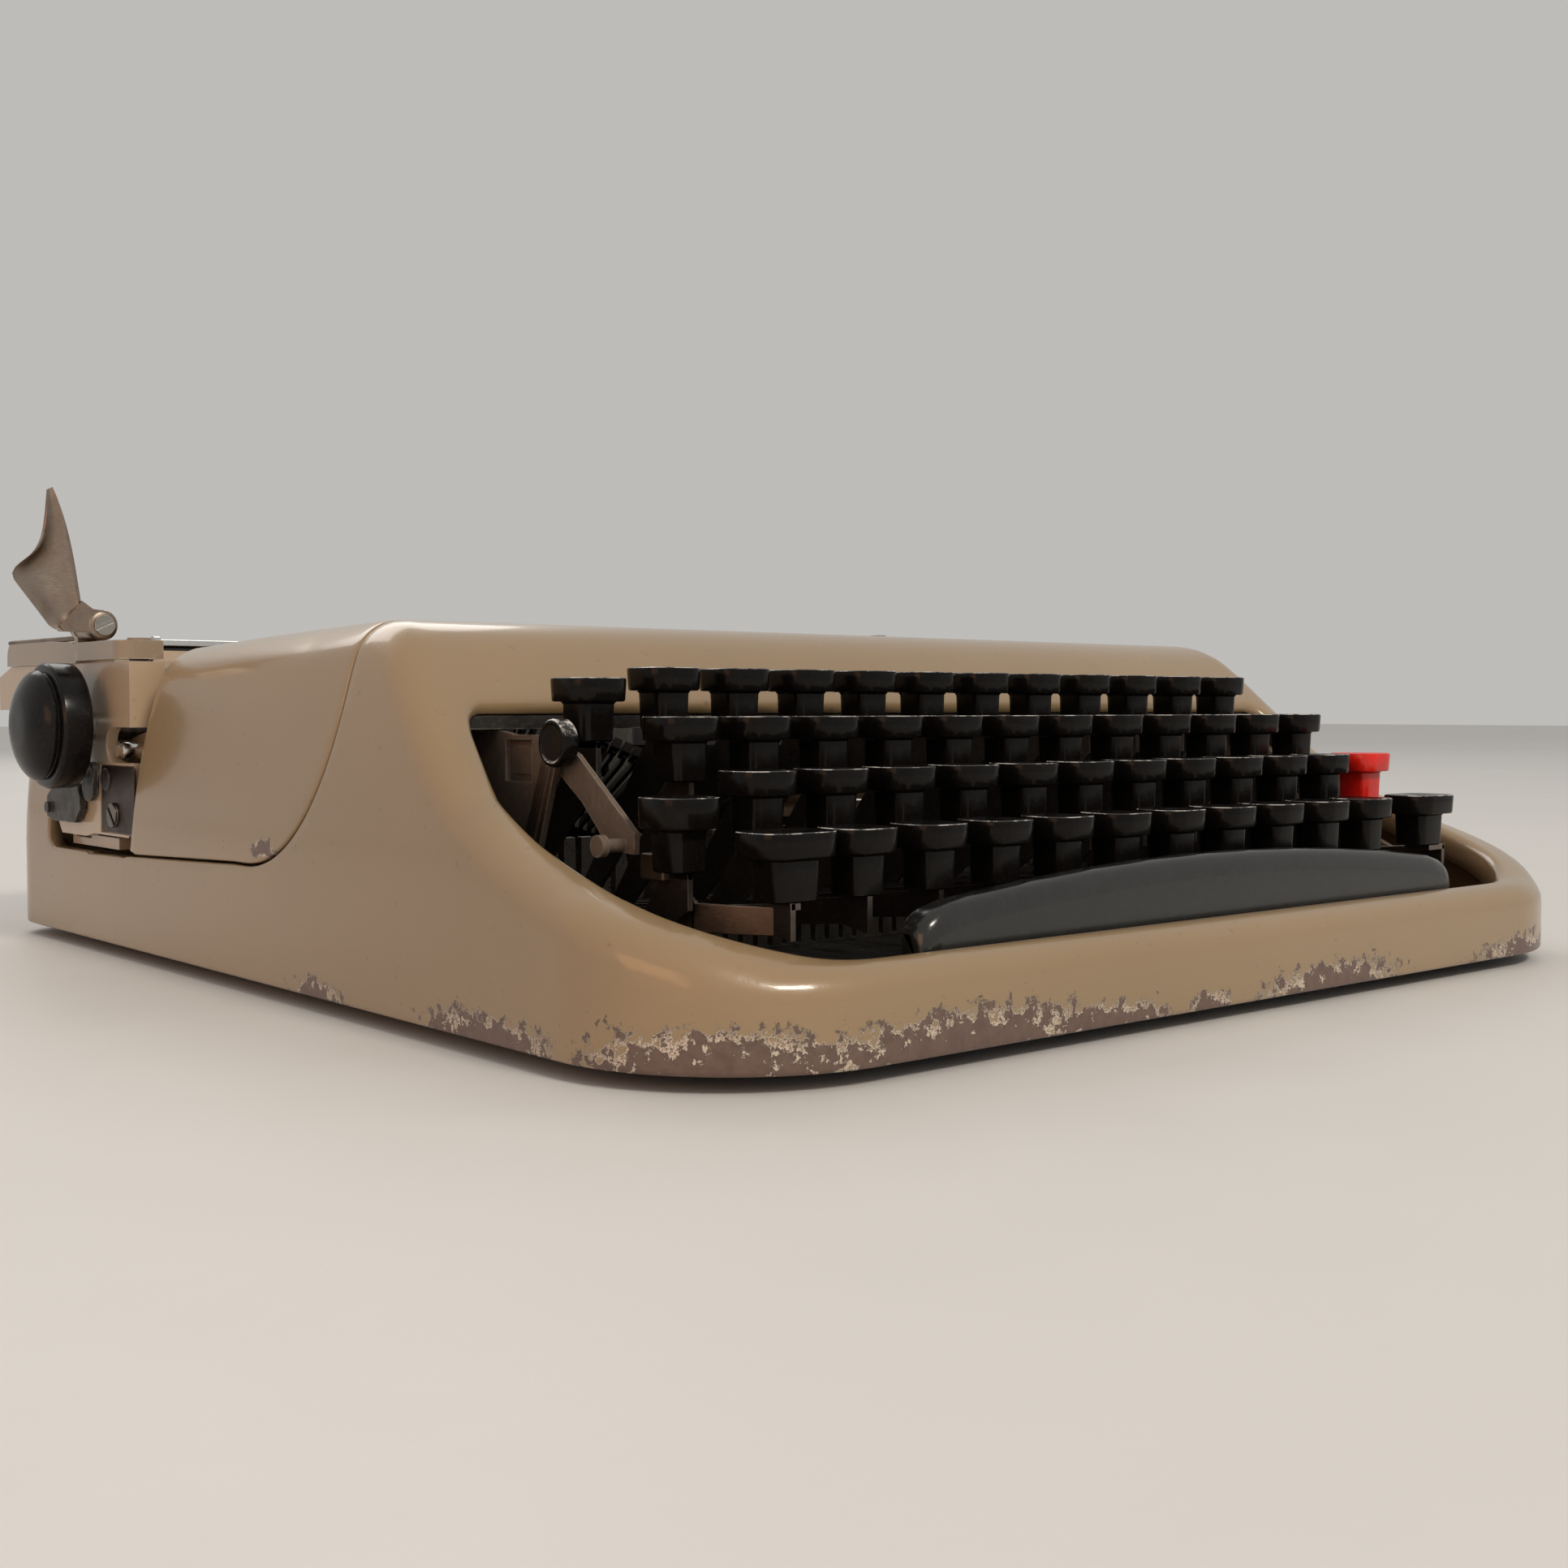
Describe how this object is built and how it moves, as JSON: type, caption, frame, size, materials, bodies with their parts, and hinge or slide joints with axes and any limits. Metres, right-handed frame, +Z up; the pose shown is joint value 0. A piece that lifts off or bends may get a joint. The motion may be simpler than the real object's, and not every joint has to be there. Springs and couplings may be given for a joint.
{
  "type": "portable manual typewriter",
  "caption": "Low portable manual typewriter with a painted metal body, sloping keyboard, moving carriage, platen, return lever and type basket.",
  "frame": {"origin": "on the table under the middle of the machine's box", "axes": "+Z up, +X to the typist's right, +Y to the rear"},
  "size_m": [0.34, 0.338, 0.121],
  "materials": {
    "paint": "satin, chipped along the lower edge",
    "carriage_paint": "satin, worn",
    "black_lacquer": "satin",
    "frame_steel": "oxidised",
    "steel": "plain",
    "chrome": "polished",
    "bell_brass": "plain",
    "key_plastic": "gloss",
    "red_plastic": "gloss",
    "knob_plastic": "satin",
    "lever_metal": "satin",
    "rubber": "matt",
    "ribbon_cloth": "inked"
  },
  "bodies": {
    "root": {"body_shell": "paint", "base_plate": "black_lacquer", "rubber_feet": "rubber", "base_screws": "steel", "side_frame_left": "frame_steel", "side_frame_right": "frame_steel", "front_cross_bar": "black_lacquer", "key_comb": "steel", "fulcrum_rod": "steel", "carriage_rail": "frame_steel", "type_guide": "steel", "spool_cups": "black_lacquer", "ribbon": "ribbon_cloth", "bell": "bell_brass"},
    "cover": {"ribbon_cover": "paint"},
    "row_1": {"keys_row_1": "key_plastic", "levers_row_1": "steel"},
    "row_2": {"keys_row_2": "key_plastic", "levers_row_2": "steel"},
    "row_3": {"keys_row_3": "key_plastic", "levers_row_3": "steel"},
    "row_4": {"keys_row_4": "key_plastic", "levers_row_4": "steel"},
    "single_key": {"single_key": "key_plastic", "single_lever": "steel"},
    "single_typebar": {"single_typebar": "steel"},
    "shift_left": {"shift_key_left": "key_plastic"},
    "shift_right": {"shift_key_right": "key_plastic"},
    "shift_lock": {"shift_lock_key": "key_plastic"},
    "red_key": {"red_key": "red_plastic"},
    "margin_release": {"margin_release_key": "key_plastic"},
    "space_bar": {"space_bar": "key_plastic"},
    "type_basket": {"type_segment": "steel", "typebars": "steel"},
    "vibrator": {"ribbon_vibrator": "steel"},
    "spool_left": {"spool_left": "steel"},
    "spool_right": {"spool_right": "steel"},
    "escapement": {"escapement_wheel": "steel"},
    "mainspring": {"mainspring_drum": "steel"},
    "selector": {"ribbon_selector": "key_plastic"},
    "carriage": {"carriage_frame": "carriage_paint", "carriage_cap_left": "carriage_paint", "carriage_cap_right": "carriage_paint", "paper_table": "carriage_paint", "margin_rail": "steel"},
    "margin_stop_left": {"margin_stop_left": "steel"},
    "margin_stop_right": {"margin_stop_right": "steel"},
    "platen": {"platen": "rubber", "platen_shaft": "steel", "knob_left": "knob_plastic", "knob_right": "knob_plastic"},
    "release_button": {"platen_release_button": "knob_plastic"},
    "feed_roller": {"feed_roller": "rubber"},
    "bail": {"paper_bail": "chrome"},
    "bail_rollers": {"bail_rollers": "rubber"},
    "lever_hub": {"lever_hub": "carriage_paint"},
    "return_lever": {"return_lever": "lever_metal"},
    "line_space": {"line_space_selector": "black_lacquer"},
    "paper_release": {"paper_release_lever": "steel"},
    "carriage_release": {"carriage_release_lever": "black_lacquer"}
  },
  "joints": [
    {"name": "cover_lift", "type": "slide", "parent": "root", "child": "cover", "axis": [0, 0, 1], "range_m": [0, 0.05]},
    {"name": "row_1_press", "type": "hinge", "parent": "root", "child": "row_1", "pos_m": [0, 0.059, 0.011], "axis": [1, 0, 0], "range_deg": [0, 4.4], "stiffness_Nm_per_rad": 20, "springref_deg": -6.88},
    {"name": "row_2_press", "type": "hinge", "parent": "root", "child": "row_2", "pos_m": [0, 0.059, 0.011], "axis": [1, 0, 0], "range_deg": [0, 4], "stiffness_Nm_per_rad": 20, "springref_deg": -6.88},
    {"name": "row_3_press", "type": "hinge", "parent": "root", "child": "row_3", "pos_m": [0, 0.059, 0.011], "axis": [1, 0, 0], "range_deg": [0, 3.7], "stiffness_Nm_per_rad": 20, "springref_deg": -6.88},
    {"name": "row_4_press", "type": "hinge", "parent": "root", "child": "row_4", "pos_m": [0, 0.059, 0.011], "axis": [1, 0, 0], "range_deg": [0, 3.3], "stiffness_Nm_per_rad": 20, "springref_deg": -6.88},
    {"name": "single_key_press", "type": "hinge", "parent": "root", "child": "single_key", "pos_m": [0, 0.059, 0.011], "axis": [1, 0, 0], "range_deg": [0, 3.7], "stiffness_Nm_per_rad": 2, "springref_deg": -6.88},
    {"name": "shift_press", "type": "hinge", "parent": "root", "child": "shift_left", "pos_m": [0, 0.059, 0.011], "axis": [1, 0, 0], "range_deg": [0, 3], "stiffness_Nm_per_rad": 8, "springref_deg": -6.88},
    {"name": "shift_right_press", "type": "hinge", "parent": "root", "child": "shift_right", "pos_m": [0, 0.059, 0.011], "axis": [1, 0, 0], "range_deg": [0, 3]},
    {"name": "shift_lock_press", "type": "hinge", "parent": "root", "child": "shift_lock", "pos_m": [0, 0.059, 0.011], "axis": [1, 0, 0], "range_deg": [0, 3]},
    {"name": "red_key_press", "type": "hinge", "parent": "root", "child": "red_key", "pos_m": [0, 0.059, 0.011], "axis": [1, 0, 0], "range_deg": [0, 3], "stiffness_Nm_per_rad": 2, "springref_deg": -6.88},
    {"name": "margin_release_press", "type": "hinge", "parent": "root", "child": "margin_release", "pos_m": [0, 0.059, 0.011], "axis": [1, 0, 0], "range_deg": [0, 3.6], "stiffness_Nm_per_rad": 2, "springref_deg": -6.88},
    {"name": "space_bar_press", "type": "slide", "parent": "root", "child": "space_bar", "axis": [0, 0, -1], "range_m": [0, 0.005], "stiffness_N_per_m": 200, "springref_m": -0.004},
    {"name": "basket_shift", "type": "slide", "parent": "root", "child": "type_basket", "axis": [0, 0, -1], "range_m": [0, 0.0052]},
    {"name": "typebar_swing", "type": "hinge", "parent": "type_basket", "child": "single_typebar", "pos_m": [0, 0.04264, 0.02464], "axis": [-1, 0, 0], "range_deg": [0, 105]},
    {"name": "vibrator_lift", "type": "slide", "parent": "root", "child": "vibrator", "axis": [0, 0, 1], "range_m": [0, 0.007]},
    {"name": "spool_left_spin", "type": "hinge", "parent": "root", "child": "spool_left", "pos_m": [-0.1, 0.009, 0.053], "axis": [0, 0, 1], "continuous": true},
    {"name": "spool_right_spin", "type": "hinge", "parent": "root", "child": "spool_right", "pos_m": [0.1, 0.009, 0.053], "axis": [0, 0, 1], "continuous": true},
    {"name": "carriage_travel", "type": "slide", "parent": "root", "child": "carriage", "axis": [1, 0, 0], "range_m": [-0.112, 0.112]},
    {"name": "escapement_spin", "type": "hinge", "parent": "root", "child": "escapement", "pos_m": [0, 0.115, 0.011], "axis": [0, 0, 1], "range_deg": [-1080, 1080]},
    {"name": "mainspring_spin", "type": "hinge", "parent": "root", "child": "mainspring", "pos_m": [-0.098, 0.123, 0.011], "axis": [0, 0, 1], "range_deg": [-300, 300]},
    {"name": "ribbon_selector_swing", "type": "hinge", "parent": "root", "child": "selector", "pos_m": [-0.126, -0.0784, 0.015], "axis": [1, 0, 0], "range_deg": [-8, 6]},
    {"name": "platen_turn", "type": "hinge", "parent": "carriage", "child": "platen", "pos_m": [0, 0.094, 0.0595], "axis": [1, 0, 0], "continuous": true},
    {"name": "feed_roller_turn", "type": "hinge", "parent": "carriage", "child": "feed_roller", "pos_m": [0, 0.0995, 0.0388], "axis": [1, 0, 0], "continuous": true},
    {"name": "platen_release_press", "type": "slide", "parent": "platen", "child": "release_button", "axis": [-1, 0, 0], "range_m": [0, 0.003], "stiffness_N_per_m": 400, "springref_m": -0.002},
    {"name": "bail_swing", "type": "hinge", "parent": "carriage", "child": "bail", "pos_m": [0, 0.115, 0.069], "axis": [-1, 0, 0], "range_deg": [0, 70]},
    {"name": "bail_rollers_turn", "type": "hinge", "parent": "bail", "child": "bail_rollers", "pos_m": [0, 0.0866, 0.0809], "axis": [1, 0, 0], "continuous": true},
    {"name": "margin_left_slide", "type": "slide", "parent": "carriage", "child": "margin_stop_left", "axis": [1, 0, 0], "range_m": [-0.045, 0.07]},
    {"name": "margin_right_slide", "type": "slide", "parent": "carriage", "child": "margin_stop_right", "axis": [1, 0, 0], "range_m": [-0.07, 0.045]},
    {"name": "line_feed_swing", "type": "hinge", "parent": "carriage", "child": "lever_hub", "pos_m": [-0.1414, 0.0755, 0.081], "axis": [0, 0, 1], "range_deg": [-24, 0], "stiffness_Nm_per_rad": 1, "springref_deg": 5.73},
    {"name": "return_lever_fold", "type": "hinge", "parent": "lever_hub", "child": "return_lever", "pos_m": [-0.147, 0.087, 0.0857], "axis": [0, 1, 0], "range_deg": [0, 105]},
    {"name": "line_space_set", "type": "hinge", "parent": "carriage", "child": "line_space", "pos_m": [-0.148, 0.0926, 0.0436], "axis": [1, 0, 0], "range_deg": [-12, 12]},
    {"name": "paper_release_swing", "type": "hinge", "parent": "carriage", "child": "paper_release", "pos_m": [0.136, 0.107, 0.067], "axis": [1, 0, 0], "range_deg": [0, 14]},
    {"name": "carriage_release_press", "type": "hinge", "parent": "carriage", "child": "carriage_release", "pos_m": [0, 0.1195, 0.037], "axis": [1, 0, 0], "range_deg": [0, 8], "stiffness_Nm_per_rad": 1, "springref_deg": -8.59}
  ],
  "couplings": [
    {"joint": "typebar_swing", "follows": "single_key_press", "ratio": 28.376},
    {"joint": "vibrator_lift", "follows": "single_key_press", "m_per_rad": 0.10839},
    {"joint": "shift_right_press", "follows": "shift_press", "ratio": 0.9999},
    {"joint": "shift_lock_press", "follows": "shift_press", "ratio": 0.9999},
    {"joint": "basket_shift", "follows": "shift_press", "m_per_rad": 0.099303},
    {"joint": "escapement_spin", "follows": "carriage_travel", "rad_per_m": -151.5},
    {"joint": "mainspring_spin", "follows": "carriage_travel", "rad_per_m": 41.663},
    {"joint": "feed_roller_turn", "follows": "platen_turn", "ratio": -2.8179}
  ]
}
